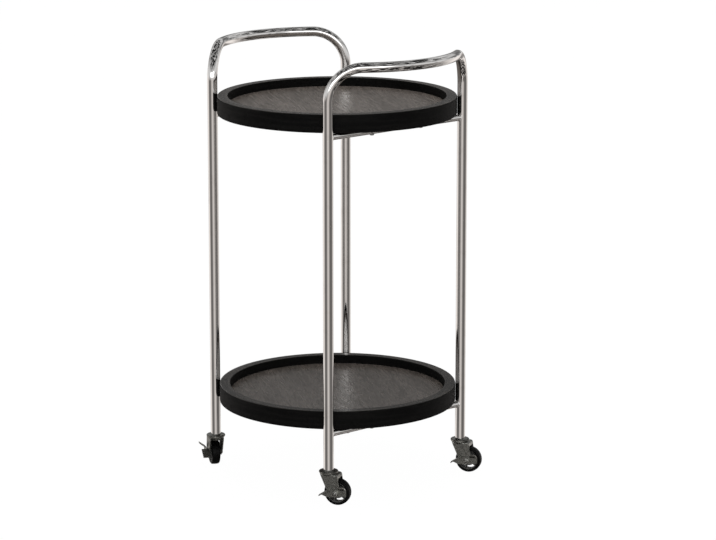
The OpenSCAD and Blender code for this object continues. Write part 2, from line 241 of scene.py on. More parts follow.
def rounded(corners: Sequence[Triple], steps: int = 6) -> np.ndarray:
    """Closed outline whose corners are arcs that touch both of their sides.

    Args:
        corners: (x, y, radius) of each corner, where radius 0 keeps it sharp.
        steps: number of pieces in each arc.

    Returns:
        Array (k, 2) of points.
    """
    out: list[np.ndarray] = []
    spots = np.array([c[:2] for c in corners], float)
    for k, (x, y, radius) in enumerate(corners):
        here = np.array([x, y])
        if radius <= 0:
            out.append(here[None])
            continue
        back = spots[k - 1] - here
        ahead = spots[(k + 1) % len(spots)] - here
        back, ahead = back / np.linalg.norm(back), ahead / np.linalg.norm(ahead)
        half = math.acos(float(np.clip(back @ ahead, -1, 1))) / 2
        reach = radius / math.tan(half)
        centre = here + (back + ahead) / np.linalg.norm(back + ahead) * radius / math.sin(half)
        first = here + back * reach - centre
        last = here + ahead * reach - centre
        share = np.linspace(0, 1, steps + 1)[:, None]
        sweep = math.pi - 2 * half
        arc = (np.sin((1 - share) * sweep) * first + np.sin(share * sweep) * last) / math.sin(sweep)
        out.append(centre + arc)
    return np.concatenate(out)


def swept(centre: np.ndarray, side: np.ndarray, up: np.ndarray, radius: np.ndarray,
          count: int, along: np.ndarray) -> Surface:
    """Round tube skin: each ring is centre + radius (side cos a + up sin a).

    Args:
        centre: ring centres (k, 3). The rows wrap, so a wall runs out and back.
        side: unit vectors (k, 3).
        up: unit vectors (k, 3), square to side and to the path.
        radius: ring radii (k,) or (k, count).
        count: columns round the tube.
        along: arc length at each ring (k,).

    Returns:
        The closed surface.
    """
    angle = turn_angles(count)[None, :, None]
    reach = (radius[:, None] * np.ones(count) if radius.ndim == 1 else radius)[..., None]
    points = centre[:, None] + reach * (side[:, None] * np.cos(angle) + up[:, None] * np.sin(angle))
    around = np.linspace(0, TAU, count + 1) * float(np.max(radius))
    return Surface.grid(points, np.append(along, along[0]), around, wrap_rows=True)


@dataclass(frozen=True)
class Grain:
    """A noise pattern.

    Its scale is the count of cells along each axis, in a metre of a piece or in a unit of the
    room's directions. Its step is the part of the noise that is stretched to 0 to 1, or None
    where the plain noise is wanted.
    """

    scale: Triple
    detail: float
    rough: float
    step: Pair | None = None
    bend: float = 0.0


def even(scale: float, detail: float, rough: float, step: Pair | None = None, bend: float = 0.0) -> Grain:
    """Pattern that is alike along all three axes."""
    return Grain((scale, scale, scale), detail, rough, step, bend)


class Shader:
    """Short words for building a node tree of one material or world."""

    def __init__(self, tree: bpy.types.NodeTree) -> None:
        """Starts on an empty tree."""
        self.tree = tree
        tree.nodes.clear()

    def node(self, kind: str, **settings: object) -> bpy.types.Node:
        """Adds a node of the given type with its settings.

        Args:
            kind: Blender's name for the type.
            settings: what is set on the node.

        Returns:
            The node.
        """
        made = self.tree.nodes.new(kind)
        for key, value in settings.items():
            setattr(made, key, value)
        return made

    def link(self, out: Socket, to: Socket) -> None:
        """Links one socket to another."""
        self.tree.links.new(out, to)

    def feed(self, value: object, socket: Socket) -> None:
        """Links value where it is a socket, and otherwise writes it there.

        Args:
            value: a socket, a number or a colour.
            socket: the input that takes it.
        """
        if isinstance(value, Socket):
            self.link(value, socket)
        else:
            socket.default_value = value

    def maths(self, operation: str, a: object, b: object = 0.0, clamp: bool = False) -> Socket:
        """Result of one maths operation on two values.

        Args:
            operation: Blender's name for the operation.
            a: first value, a socket or a number.
            b: second value, a socket or a number.
            clamp: keeps the result between 0 and 1.

        Returns:
            The result.
        """
        made = self.node("ShaderNodeMath", operation=operation, use_clamp=clamp)
        self.feed(a, made.inputs[0])
        self.feed(b, made.inputs[1])
        return made.outputs[0]

    def mix(self, share: object, a: object, b: object) -> Socket:
        """Value between a and b.

        Args:
            share: 0 for a and 1 for b.
            a: a socket or a number.
            b: a socket or a number.

        Returns:
            The value.
        """
        made = self.node("ShaderNodeMix", data_type="FLOAT")
        self.feed(share, made.inputs[0])
        self.feed(a, made.inputs[2])
        self.feed(b, made.inputs[3])
        return made.outputs[0]

    def tint(self, share: object, a: object, b: object) -> Socket:
        """Colour between a and b, either of which may be a socket.

        Args:
            share: 0 for a and 1 for b.
            a: a socket or three numbers.
            b: a socket or three numbers.

        Returns:
            The colour.
        """
        made = self.node("ShaderNodeMix", data_type="RGBA")
        self.feed(share, made.inputs[0])
        for value, socket in ((a, made.inputs[6]), (b, made.inputs[7])):
            self.feed(value if isinstance(value, Socket) else (*value, 1.0), socket)
        return made.outputs[2]

    def span(self, value: object, low: float, high: float, to_low: float = 0.0,
             to_high: float = 1.0) -> Socket:
        """Smooth step of value from low to high, given out as to_low to to_high.

        Args:
            value: the value, a socket.
            low: where the step starts.
            high: where the step ends.
            to_low: result at low and before it.
            to_high: result at high and past it.

        Returns:
            The result.
        """
        made = self.node("ShaderNodeMapRange", interpolation_type="SMOOTHSTEP")
        self.feed(value, made.inputs[0])
        for number, socket in zip((low, high, to_low, to_high), list(made.inputs)[1:5]):
            socket.default_value = number
        return made.outputs[0]

    def ramp(self, value: object, stops: Sequence[Pair]) -> Socket:
        """Grey ramp through (position, brightness) stops.

        Args:
            value: the place on the ramp, from 0 to 1.
            stops: the position and brightness of each stop.

        Returns:
            The brightness.
        """
        made = self.node("ShaderNodeValToRGB")
        made.color_ramp.interpolation = "EASE"
        self.feed(value, made.inputs[0])
        elements = made.color_ramp.elements
        while len(elements) < len(stops):
            elements.new(0.5)
        for element, (place, bright) in zip(elements, stops):
            element.position = place
            element.color = (bright, bright, bright, 1.0)
        return made.outputs[0]

    def split(self, vector: Socket) -> tuple[Socket, Socket, Socket]:
        """The three parts of a vector.

        Args:
            vector: the vector.

        Returns:
            Its X, Y and Z.
        """
        made = self.node("ShaderNodeSeparateXYZ")
        self.link(vector, made.inputs[0])
        return tuple(made.outputs)

    def coordinates(self, scale: Triple = (1, 1, 1), turn: Triple = (0, 0, 0),
                    source: str = "Object") -> Socket:
        """Coordinates that are turned and then scaled.

        Args:
            scale: scale along each axis.
            turn: rotation in radians, before the scale.
            source: Object, Generated or Normal, or ALONG for the piece's own UV map.

        Returns:
            The mapped vector.
        """
        if source == ALONG:
            place = self.node("ShaderNodeUVMap", uv_map=ALONG).outputs[0]
        else:
            place = self.node("ShaderNodeTexCoord").outputs[source]
        turned = self.node("ShaderNodeMapping")
        self.link(place, turned.inputs[0])
        turned.inputs["Rotation"].default_value = turn
        sized = self.node("ShaderNodeMapping")
        self.link(turned.outputs[0], sized.inputs[0])
        sized.inputs["Scale"].default_value = scale
        return sized.outputs[0]

    def grain(self, pattern: Grain, turn: Triple = (0, 0, 0), source: str = "Object") -> Socket:
        """Value of a noise pattern, from 0 to 1.

        Args:
            pattern: its scale, detail, bend and step.
            turn: rotation in radians, before the scale.
            source: the coordinates that it reads.

        Returns:
            The value.
        """
        made = self.node("ShaderNodeTexNoise")
        self.link(self.coordinates(pattern.scale, turn, source), made.inputs["Vector"])
        made.inputs["Scale"].default_value = 1.0
        made.inputs["Detail"].default_value = pattern.detail
        made.inputs["Roughness"].default_value = pattern.rough
        made.inputs["Distortion"].default_value = pattern.bend
        return made.outputs[0] if pattern.step is None else self.span(made.outputs[0], *pattern.step)

    def bump(self, height: object, depth: float, strength: float, under: Socket | None = None) -> Socket:
        """Normal over a height of the given depth in metres, on top of another bump or of none.

        Args:
            height: the height, from 0 to 1.
            depth: how many metres a height of 1 stands for.
            strength: share of the bump that is used.
            under: the normal of the bump below it, or None.

        Returns:
            The normal.
        """
        made = self.node("ShaderNodeBump")
        made.inputs["Strength"].default_value = strength
        made.inputs["Distance"].default_value = depth
        self.feed(height, made.inputs["Height"])
        if under is not None:
            self.link(under, made.inputs["Normal"])
        return made.outputs[0]


@dataclass(frozen=True)
class Finish:
    """A finish: its name, the slot it belongs to, and the constants of its shader.

    In every finish a gloss is a pair of roughnesses, and a relief is a depth and a strength.
    """

    name: str
    slot: Slot
    metallic: float = 0.0
    specular: float = 0.5

    def paint(self, s: Shader) -> tuple[Socket, Socket, Socket]:
        """Builds colour, roughness and normal. Each finish has its own.

        Args:
            s: the material's node tree.

        Returns:
            Colour, roughness and normal.
        """
        raise NotImplementedError

    def material(self) -> bpy.types.Material:
        """The material, built once.

        Returns:
            The material, new at the first call and the same one later.
        """
        found = bpy.data.materials.get(self.name)
        if found is not None:
            return found
        made = bpy.data.materials.new(self.name)
        made.use_nodes = True
        s = Shader(made.node_tree)
        out = s.node("ShaderNodeOutputMaterial")
        bsdf = s.node("ShaderNodeBsdfPrincipled")
        bsdf.inputs["Metallic"].default_value = self.metallic
        bsdf.inputs["Specular IOR Level"].default_value = self.specular
        s.link(bsdf.outputs[0], out.inputs[0])
        for value, socket in zip(self.paint(s), ("Base Color", "Roughness", "Normal")):
            s.link(value, bsdf.inputs[socket])
        return made


@dataclass(frozen=True)
class ChromePlate(Finish):
    """Bright chrome plate: nearly a mirror, with soft smears, hairline scratches and slight ripple."""

    clean: Triple = (0.90, 0.885, 0.87)
    dull: Triple = (0.82, 0.80, 0.78)
    smears: Grain = even(38.0, 5.0, 0.6, (0.52, 0.72))
    scratches: Grain = Grain((900.0, 900.0, 18.0), 2.0, 0.5, (0.60, 0.75))
    ripples: Grain = even(55.0, 2.0, 0.4)
    gloss: Pair = (0.045, 0.12)
    scratch_rough: float = 0.05
    ripple_relief: Pair = (0.12 * MM, 0.35)
    scratch_relief: Pair = (0.01 * MM, 0.25)

    def paint(self, s: Shader) -> tuple[Socket, Socket, Socket]:
        """Smears set the tint and the roughness, and scratches and ripple the normal.

        Args:
            s: the material's node tree.

        Returns:
            Colour, roughness and normal.
        """
        smear = s.grain(self.smears)
        scratch = s.grain(self.scratches)
        rough = s.maths("ADD", s.mix(smear, *self.gloss), s.maths("MULTIPLY", scratch, self.scratch_rough))
        ripple = s.bump(s.grain(self.ripples), *self.ripple_relief)
        return s.tint(smear, self.clean, self.dull), rough, s.bump(scratch, *self.scratch_relief, ripple)


@dataclass(frozen=True)
class BlackStain(Finish):
    """Open grained wood stained black under a thin satin lacquer, with its grain along the ring."""

    dark: Triple = (0.0012, 0.0011, 0.0010)
    light: Triple = (0.0050, 0.0046, 0.0042)
    # Lighter colour of the up-facing top: a painted sheen
    painted_sheen: Triple = (0.050, 0.044, 0.039)
    streaks: Grain = Grain((9, 160, 1), 4.0, 0.55, (0.42, 0.66), 0.4)
    pores: Grain = Grain((55, 1500, 1), 3.0, 0.6, (0.50, 0.68))
    top_slope: Pair = (0.55, 0.95)
    # Least share of the painted sheen on the top, where the grain streaks are darkest
    least_sheen: float = 0.45
    wall_gloss: Pair = (0.66, 0.82)
    top_gloss: Pair = (0.26, 0.20)
    pit_rough: float = 0.40
    streak_height: float = 0.4
    relief: Pair = (0.12 * MM, 0.45)

    def paint(self, s: Shader) -> tuple[Socket, Socket, Socket]:
        """Grain and pores run along U of the ring's own map. The up-facing top gets a lighter colour, a painted
        sheen, and is smoother.

        Args:
            s: the material's node tree.

        Returns:
            Colour, roughness and normal.
        """
        streak = s.grain(self.streaks, source=ALONG)
        pit = s.grain(self.pores, source=ALONG)
        top = s.span(s.split(s.coordinates(source="Normal"))[2], *self.top_slope)
        # Painted sheen: the up-facing top is lightened towards the painted sheen colour, most along the lighter
        # grain streaks
        sheen_share = s.maths("MULTIPLY", top, s.mix(streak, self.least_sheen, 1.0))
        # Stain colour with the painted sheen mixed in on the top
        stain = s.tint(sheen_share, s.tint(streak, self.dark, self.light), self.painted_sheen)
        smooth = s.mix(pit, s.mix(streak, *self.top_gloss), self.pit_rough)
        rough = s.mix(top, s.mix(pit, *self.wall_gloss), smooth)
        height = s.maths("SUBTRACT", s.maths("MULTIPLY", streak, self.streak_height), pit)
        return s.tint(pit, stain, self.dark), rough, s.bump(height, *self.relief)


@dataclass(frozen=True)
class BrownBlackVeneer(Finish):
    """Veneer stained black brown, whose straight grain runs across the tray under satin lacquer."""

    dark: Triple = (0.051, 0.043, 0.037)
    light: Triple = (0.147, 0.127, 0.113)
    grain_turn: float = math.radians(28)
    figure: Grain = Grain((3.5, 34, 1), 5.0, 0.6, (0.35, 0.68), 0.7)
    fibres: Grain = Grain((16, 420, 1), 4.0, 0.6, (0.36, 0.66), 0.3)
    flecks: Grain = Grain((45, 210, 1), 3.0, 0.65, (0.40, 0.62))
    pores: Grain = Grain((60, 1900, 1), 2.0, 0.5, (0.54, 0.70))
    figure_share: float = 0.45
    fleck_share: float = 0.45
    gloss: Pair = (0.32, 0.23)
    pit_rough: float = 0.58
    streak_height: float = 0.5
    relief: Pair = (0.16 * MM, 0.55)
    fleck_relief: Pair = (0.22 * MM, 0.6)

    def paint(self, s: Shader) -> tuple[Socket, Socket, Socket]:
        """All patterns are drawn out along the turned X axis, and the flecks break up the sheen.

        Args:
            s: the material's node tree.

        Returns:
            Colour, roughness and normal.
        """
        patterns = (self.figure, self.fibres, self.flecks, self.pores)
        figure, fibre, fleck, pit = (s.grain(p, (0, 0, self.grain_turn)) for p in patterns)
        streak = s.maths("ADD", s.maths("MULTIPLY", figure, self.figure_share),
                         s.maths("MULTIPLY", fibre, 1 - self.figure_share))
        stain = s.tint(s.mix(self.fleck_share, streak, fleck), self.dark, self.light)
        rough = s.mix(pit, s.mix(streak, *self.gloss), self.pit_rough)
        height = s.maths("SUBTRACT", s.maths("MULTIPLY", streak, self.streak_height), pit)
        normal = s.bump(height, *self.relief, s.bump(fleck, *self.fleck_relief))
        return s.tint(pit, stain, self.dark), rough, normal


@dataclass(frozen=True)
class PlatedSteel(Finish):
    """Zinc or nickel plate on stamped or turned steel, with a soft cloudy grain."""

    light: Triple = (0.37, 0.37, 0.343)
    dark: Triple = (0.145, 0.145, 0.134)
    gloss: Pair = (0.46, 0.24)
    cloud_scale: float = 210.0
    cloud_step: Pair = (0.34, 0.70)
    marks: Grain = Grain((700, 700, 5200), 2.0, 0.5)
    mark_relief: Pair = (0.02 * MM, 0.4)
    cloud_relief: Pair = (0.06 * MM, 0.3)

    def paint(self, s: Shader) -> tuple[Socket, Socket, Socket]:
        """Clouds set tint and roughness, and rolling marks the normal.

        Args:
            s: the material's node tree.

        Returns:
            Colour, roughness and normal.
        """
        cloud = s.grain(even(self.cloud_scale, 5.0, 0.62, self.cloud_step, 0.4))
        normal = s.bump(s.grain(self.marks), *self.mark_relief, s.bump(cloud, *self.cloud_relief))
        return s.tint(cloud, self.dark, self.light), s.mix(cloud, *self.gloss), normal


@dataclass(frozen=True)
class BlackRubber(Finish):
    """Black tread rubber, dusted and scuffed where it rolls."""

    fresh: Triple = (0.0018, 0.0018, 0.0018)
    dusty: Triple = (0.0090, 0.0088, 0.0084)
    dust: Grain = even(300.0, 6.0, 0.65, (0.48, 0.74))
    pebble: Grain = even(2600.0, 3.0, 0.6)
    gloss: Pair = (0.46, 0.78)
    relief: Pair = (0.06 * MM, 0.5)

    def paint(self, s: Shader) -> tuple[Socket, Socket, Socket]:
        """Dust clouds set colour and roughness over a fine pebble.

        Args:
            s: the material's node tree.

        Returns:
            Colour, roughness and normal.
        """
        dust = s.grain(self.dust)
        normal = s.bump(s.grain(self.pebble), *self.relief)
        return s.tint(dust, self.fresh, self.dusty), s.mix(dust, *self.gloss), normal


@dataclass(frozen=True)
class MouldedPlastic(Finish):
    """Moulded plastic with a fine spark eroded texture and slight flow clouds."""

    light: Triple = (0.205, 0.205, 0.196)
    dark: Triple = (0.12, 0.12, 0.114)
    clouds: Grain = even(160.0, 4.0, 0.55, (0.35, 0.68), 0.8)
    grit: Grain = even(3400.0, 2.0, 0.5)
    gloss: Pair = (0.36, 0.58)
    relief: Pair = (0.03 * MM, 0.5)

    def paint(self, s: Shader) -> tuple[Socket, Socket, Socket]:
        """Clouds set the tint, and the fine texture roughness and normal.

        Args:
            s: the material's node tree.

        Returns:
            Colour, roughness and normal.
        """
        grit = s.grain(self.grit)
        colour = s.tint(s.grain(self.clouds), self.dark, self.light)
        return colour, s.mix(grit, *self.gloss), s.bump(grit, *self.relief)


CHROME = ChromePlate("Chrome plate", Slot.CHROME, metallic=1.0)
RIM_STAIN = BlackStain("Black stained rim", Slot.RIM_WOOD, specular=0.12)
FLOOR_VENEER = BrownBlackVeneer("Black brown veneer", Slot.FLOOR_WOOD, specular=0.30)
ZINC = PlatedSteel("Zinc plated steel", Slot.ZINC_PLATE, metallic=1.0)
BRIGHT_STEEL = PlatedSteel("Bright plated steel", Slot.PLATED_STEEL, metallic=1.0, light=(0.50, 0.50, 0.48),
                           dark=(0.28, 0.28, 0.265), gloss=(0.34, 0.16), cloud_scale=320.0)
BALL_STEEL = PlatedSteel("Ground ball steel", Slot.BALL_STEEL, metallic=1.0, light=(0.72, 0.72, 0.72),
                         dark=(0.60, 0.60, 0.60), gloss=(0.16, 0.08), cloud_scale=500.0)
HUB_PLASTIC = MouldedPlastic("Grey hub plastic", Slot.HUB_PLASTIC)
NYLON = MouldedPlastic("Natural nylon", Slot.SOCKET_NYLON, light=(0.74, 0.73, 0.70), dark=(0.66, 0.65, 0.61))
RUBBER = BlackRubber("Black tyre rubber", Slot.TYRE_RUBBER, specular=0.12)


def dress(obj: bpy.types.Object, finish: Finish) -> None:
    """Gives every face of a piece one finish."""
    obj.data.materials.clear()
    obj.data.materials.append(finish.material())


def add_piece(surface: Surface, name: str, body: str, finish: Finish, replaces: Sequence[str] = (),
              weld: bool = False) -> bpy.types.Object:
    """Makes a piece, dresses it and joins it to its body.

    Args:
        surface: its faces, in the row frame.
        name: its name.
        body: the body that it rides on.
        finish: its finish.
        replaces: nodes that it stands for.
        weld: merges doubles, which closes poles.

    Returns:
        The object.
    """
    obj = surface.to_object(name, weld)
    dress(obj, finish)
    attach(obj, body)
    if replaces:
        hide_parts(*replaces)
    LOG.info("piece %s on %s: %d faces", name, body, len(obj.data.polygons))
    return obj


def smooth_node(obj: bpy.types.Object, angle: float = 32.0) -> None:
    """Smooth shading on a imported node, whose loose triangles are welded by modifiers alone.

    Args:
        obj: the node's object.
        angle: edges sharper than this stay sharp, in degrees.
    """
    obj.data.shade_smooth()
    weld = obj.modifiers.new("Weld", "WELD")
    weld.merge_threshold = WELD
    split = obj.modifiers.new("Edge split", "EDGE_SPLIT")
    split.split_angle = math.radians(angle)
    weights = obj.modifiers.new("Area weighted normals", "WEIGHTED_NORMAL")
    weights.keep_sharp = True


@dataclass
class BentFrame:
    """Chrome frame of one side: a leg, a bend, the bowed handle, a bend and a leg in one tube."""

    node: str
    side: float
    tube_r: float = 9.5 * MM
    wall: float = 1.2 * MM
    bend_r: float = 64.0 * MM
    bow: float = math.radians(36.5)
    burr: float = 0.3 * MM
    columns: int = 64
    leg_rows: int = 14
    bend_rows: int = 30
    bow_rows: int = 44
    crush: float = 0.012

    def __post_init__(self) -> None:
        """Reads the leg's place, its end and the handle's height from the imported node."""
        low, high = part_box(self.node)
        self.leg_x = min(abs(low.x), abs(high.x)) + self.tube_r
        self.leg_y = high.y - self.tube_r
        self.leg_end = low.z
        self.handle_z = high.z - self.tube_r
        self.bend_z = self.handle_z - self.bend_r
        self.bow_r = (self.leg_y - self.bend_r * math.cos(self.bow)) / math.sin(self.bow)
        self.bow_x = self.leg_x + self.bend_r * math.sin(self.bow) - self.bow_r * math.cos(self.bow)

    def half_path(self) -> tuple[np.ndarray, np.ndarray, np.ndarray, np.ndarray]:
        """Path from the end of the leg at -Y to the middle of the handle.

        The leg is straight. The bend is a quarter circle from +Z to the level direction d, and
        the bow is an arc about (bow_x, 0) that starts along d.

        Returns:
            Centres, tangents, side vectors and how far each ring lies in a bend, 0 to 1.
        """
        up = np.array([0.0, 0.0, 1.0])
        d = np.array([math.sin(self.bow), math.cos(self.bow), 0.0])
        across = np.cross(up, d)
        foot = np.array([self.leg_x, -self.leg_y, 0.0])
        z = np.linspace(self.leg_end, self.bend_z, self.leg_rows, endpoint=False)[:, None]
        leg = foot + z * up
        a = np.linspace(0, math.pi / 2, self.bend_rows, endpoint=False)[:, None]
        bend = foot + (self.bend_z + self.bend_r * np.sin(a)) * up + self.bend_r * (1 - np.cos(a)) * d
        b = np.linspace(-self.bow, 0, self.bow_rows // 2 + 1)[:, None]
        flat = np.zeros_like(b)
        bow = np.hstack([np.cos(b), np.sin(b), flat])
        handle = np.array([self.bow_x, 0.0, self.handle_z]) + self.bow_r * bow
        tangent = np.vstack([np.tile(up, (len(z), 1)), np.sin(a) * d + np.cos(a) * up,
                             np.hstack([-np.sin(b), np.cos(b), flat])])
        side = np.vstack([np.tile(across, (len(z) + len(a), 1)), -bow])
        inside = np.concatenate([np.zeros(len(z)), np.sin(2 * a[:, 0]) ** 2, np.zeros(len(b))])
        return np.vstack([leg, bend, handle]), tangent, side, inside

    def surface(self) -> Surface:
        """The whole tube with its wall: out along the outside and back along the bore.

        In a bend the section is slightly flattened, by the share crush of its radius.

        Returns:
            The closed surface.
        """
        centre, tangent, side, inside = self.half_path()
        mirror = np.array([1.0, -1.0, 1.0])
        centre = np.vstack([centre, centre[-2::-1] * mirror])
        tangent = np.vstack([tangent, tangent[-2::-1] * -mirror])
        side = np.vstack([side, side[-2::-1] * mirror])
        inside = np.append(inside, inside[-2::-1])
        up = np.cross(tangent, side)
        length = np.append(0, np.cumsum(np.linalg.norm(np.diff(centre, axis=0), axis=1)))
        angle = turn_angles(self.columns)
        oval = 1 - self.crush * inside[:, None] * np.sin(angle)[None] ** 2
        outer, bore = self.tube_r * oval, (self.tube_r - self.wall) * oval
        inner = np.array([tangent[0], -tangent[-1]]) * self.burr
        lip = centre[[0, -1]] + inner
        first, middle, last, back = slice(0, 1), slice(1, -1), slice(-1, None), slice(-2, 0, -1)
        rows = [(lip[:1], outer, 0.0, first), (centre[middle], outer, 0.0, middle),
                (lip[1:], outer, 0.0, last), (centre[last], outer, -self.burr, last),
                (centre[last], bore, self.burr, last),
                (lip[1:], bore, 0.0, last), (centre[back], bore, 0.0, back), (lip[:1], bore, 0.0, first),
                (centre[first], bore, self.burr, first), (centre[first], outer, -self.burr, first)]
        places = np.concatenate([place for place, _, _, _ in rows])
        radius = np.concatenate([wall[part] + more for _, wall, more, part in rows])
        sides, ups, lengths = (np.concatenate([values[part] for _, _, _, part in rows])
                               for values in (side, up, length))
        made = swept(places, sides, ups, radius, self.columns, lengths)
        return made.placed((0, 0, 0), (self.side, 0, 0), (0, self.side, 0), (0, 0, 1))

    def build(self) -> None:
        """Makes the frame, which stands for its node."""
        add_piece(self.surface(), self.node + "_tube", "root", CHROME, [self.node])


@dataclass
class TrayRail:
    """Chrome rail under a tray, coped to both legs and welded there."""

    node: str
    frame: BentFrame
    wall: float = 1.0 * MM
    columns: int = 48
    bead_r: float = 1.15 * MM
    bead_columns: int = 14
    bead_rows: int = 120
    ripples: int = 22
    ripple_base: float = 0.84
    ripple_rise: float = 0.22
    ripple_power: float = 0.7
    rings: tuple[float, ...] = (-1.0, -0.33, 0.33, 1.0)
    ring_v: float = 0.1

    def __post_init__(self) -> None:
        """Reads the rail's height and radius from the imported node."""
        low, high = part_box(self.node)
        self.rail_r = (high.z - low.z) / 2
        self.z = (high.z + low.z) / 2
        self.x = self.frame.side * self.frame.leg_x

    def reach(self, across: np.ndarray) -> np.ndarray:
        """Where the rail's skin meets the leg: sqrt(R^2 - across^2) from the leg's axis.

        Args:
            across: distance of the skin from the leg's middle plane.

        Returns:
            Distance from the leg's axis along the rail.
        """
        return np.sqrt(self.frame.tube_r ** 2 - across ** 2)

    def tube(self) -> Surface:
        """Tube along Y whose ends follow the round of the legs, with rings out and back along the bore.

        Returns:
            The closed surface.
        """
        angle = turn_angles(self.columns)
        rows = []
        for radius, places in ((self.rail_r, self.rings), (self.rail_r - self.wall, self.rings[::-1])):
            x, z = radius * np.cos(angle), radius * np.sin(angle)
            half = self.frame.leg_y - self.reach(x)
            rows += [np.stack([self.x + x, share * half, self.z + z], -1) for share in places]
        points = np.array(rows)
        v = self.ring_v * np.arange(len(self.rings))
        along = np.concatenate([v, v[::-1], v[:1]])
        around = np.linspace(0, TAU, self.columns + 1) * self.rail_r
        return Surface.grid(points, along, around, wrap_rows=True)

    def bead(self, end: float) -> Surface:
        """Weld bead along the saddle where rail and leg meet.

        Its centre is (rail_r cos a, reach, rail_r sin a), and its radius swells and shrinks
        with each ripple of the weld.

        Args:
            end: 1 for the leg at +Y and -1 for the one at -Y.

        Returns:
            The closed ring of the bead.
        """
        a = turn_angles(self.bead_rows)
        x, z = self.rail_r * np.cos(a), self.rail_r * np.sin(a)
        y = self.frame.leg_y - self.reach(x)
        centre = np.stack([self.x + x, end * y, self.z + z], -1)
        outward = np.stack([np.cos(a), 0 * a, np.sin(a)], -1)
        tangent = np.roll(centre, -1, 0) - np.roll(centre, 1, 0)
        tangent /= np.linalg.norm(tangent, axis=1)[:, None]
        outward -= tangent * np.sum(outward * tangent, 1)[:, None]
        outward /= np.linalg.norm(outward, axis=1)[:, None]
        wave = np.mod(a * self.ripples / TAU, 1.0)
        swell = self.ripple_rise * np.sin(math.pi * wave) ** self.ripple_power
        radius = self.bead_r * (self.ripple_base + swell)
        around = turn_angles(self.bead_columns)
        reach = radius[:, None] * np.ones_like(around)
        other = np.cross(tangent, outward)
        spoke = outward[:, None] * np.cos(around)[:, None] + other[:, None] * np.sin(around)[:, None]
        points = centre[:, None] + reach[..., None] * spoke
        return Surface.grid(points, np.append(a, TAU) * self.rail_r,
                            np.linspace(0, TAU, self.bead_columns + 1) * self.bead_r, wrap_rows=True)

    def build(self) -> None:
        """Makes the rail and both of its weld beads."""
        add_piece(self.tube(), self.node + "_tube", "root", CHROME, [self.node])
        beads = Surface.joined([self.bead(1.0), self.bead(-1.0)])
        add_piece(beads, self.node + "_welds", "root", CHROME)


@dataclass
class Tray:
    """Round tray: a rim with softened edges and the floor panel in its rabbet."""

    name: str
    rim_w: float = 20.0 * MM
    tongue_w: float = 5.0 * MM
    tongue_t: float = 8.0 * MM
    outer_round: float = 2.5 * MM
    inner_round: float = 1.5 * MM
    edge_round: float = 0.5 * MM
    seat: float = 0.1 * MM
    columns: int = 288

    def __post_init__(self) -> None:
        """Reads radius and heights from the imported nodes."""
        low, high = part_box(self.name + "_rim")
        self.radius = high.y
        self.low, self.high = low.z, high.z
        self.floor_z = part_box(self.name + "_floor")[1].z

    def rim(self) -> Surface:
        """Revolved section of the rim with its rabbet below.

        Returns:
            The closed ring.
        """
        out, inside = self.radius, self.radius - self.rim_w
        rabbet = inside + self.tongue_w
        e = self.edge_round
        return lathe(rounded([
            (out, self.low, self.inner_round), (out, self.high, self.outer_round),
            (inside, self.high, self.inner_round), (inside, self.low + self.tongue_t, e),
            (rabbet, self.low + self.tongue_t, 0), (rabbet, self.low, e)]), self.columns)

    def floor(self) -> Surface:
        """Revolved section of the floor panel with its tongue.

        Returns:
            The closed disc.
        """
        wide = self.radius - self.rim_w + self.tongue_w - self.seat
        narrow = wide - self.tongue_w
        tongue = self.low + self.tongue_t - self.seat
        e = self.edge_round
        return lathe(rounded([
            (TINY, self.low, 0), (wide, self.low, e), (wide, tongue, e), (narrow, tongue, 0),
            (narrow, self.floor_z, e), (TINY, self.floor_z, 0)]), self.columns)

    def build(self) -> None:
        """Makes rim and floor, which stand for their nodes."""
        add_piece(self.rim(), f"{self.name}_tray_rim", "root", RIM_STAIN, [f"{self.name}_rim"])
        add_piece(self.floor(), f"{self.name}_tray_floor", "root", FLOOR_VENEER, [f"{self.name}_floor"],
                  weld=True)


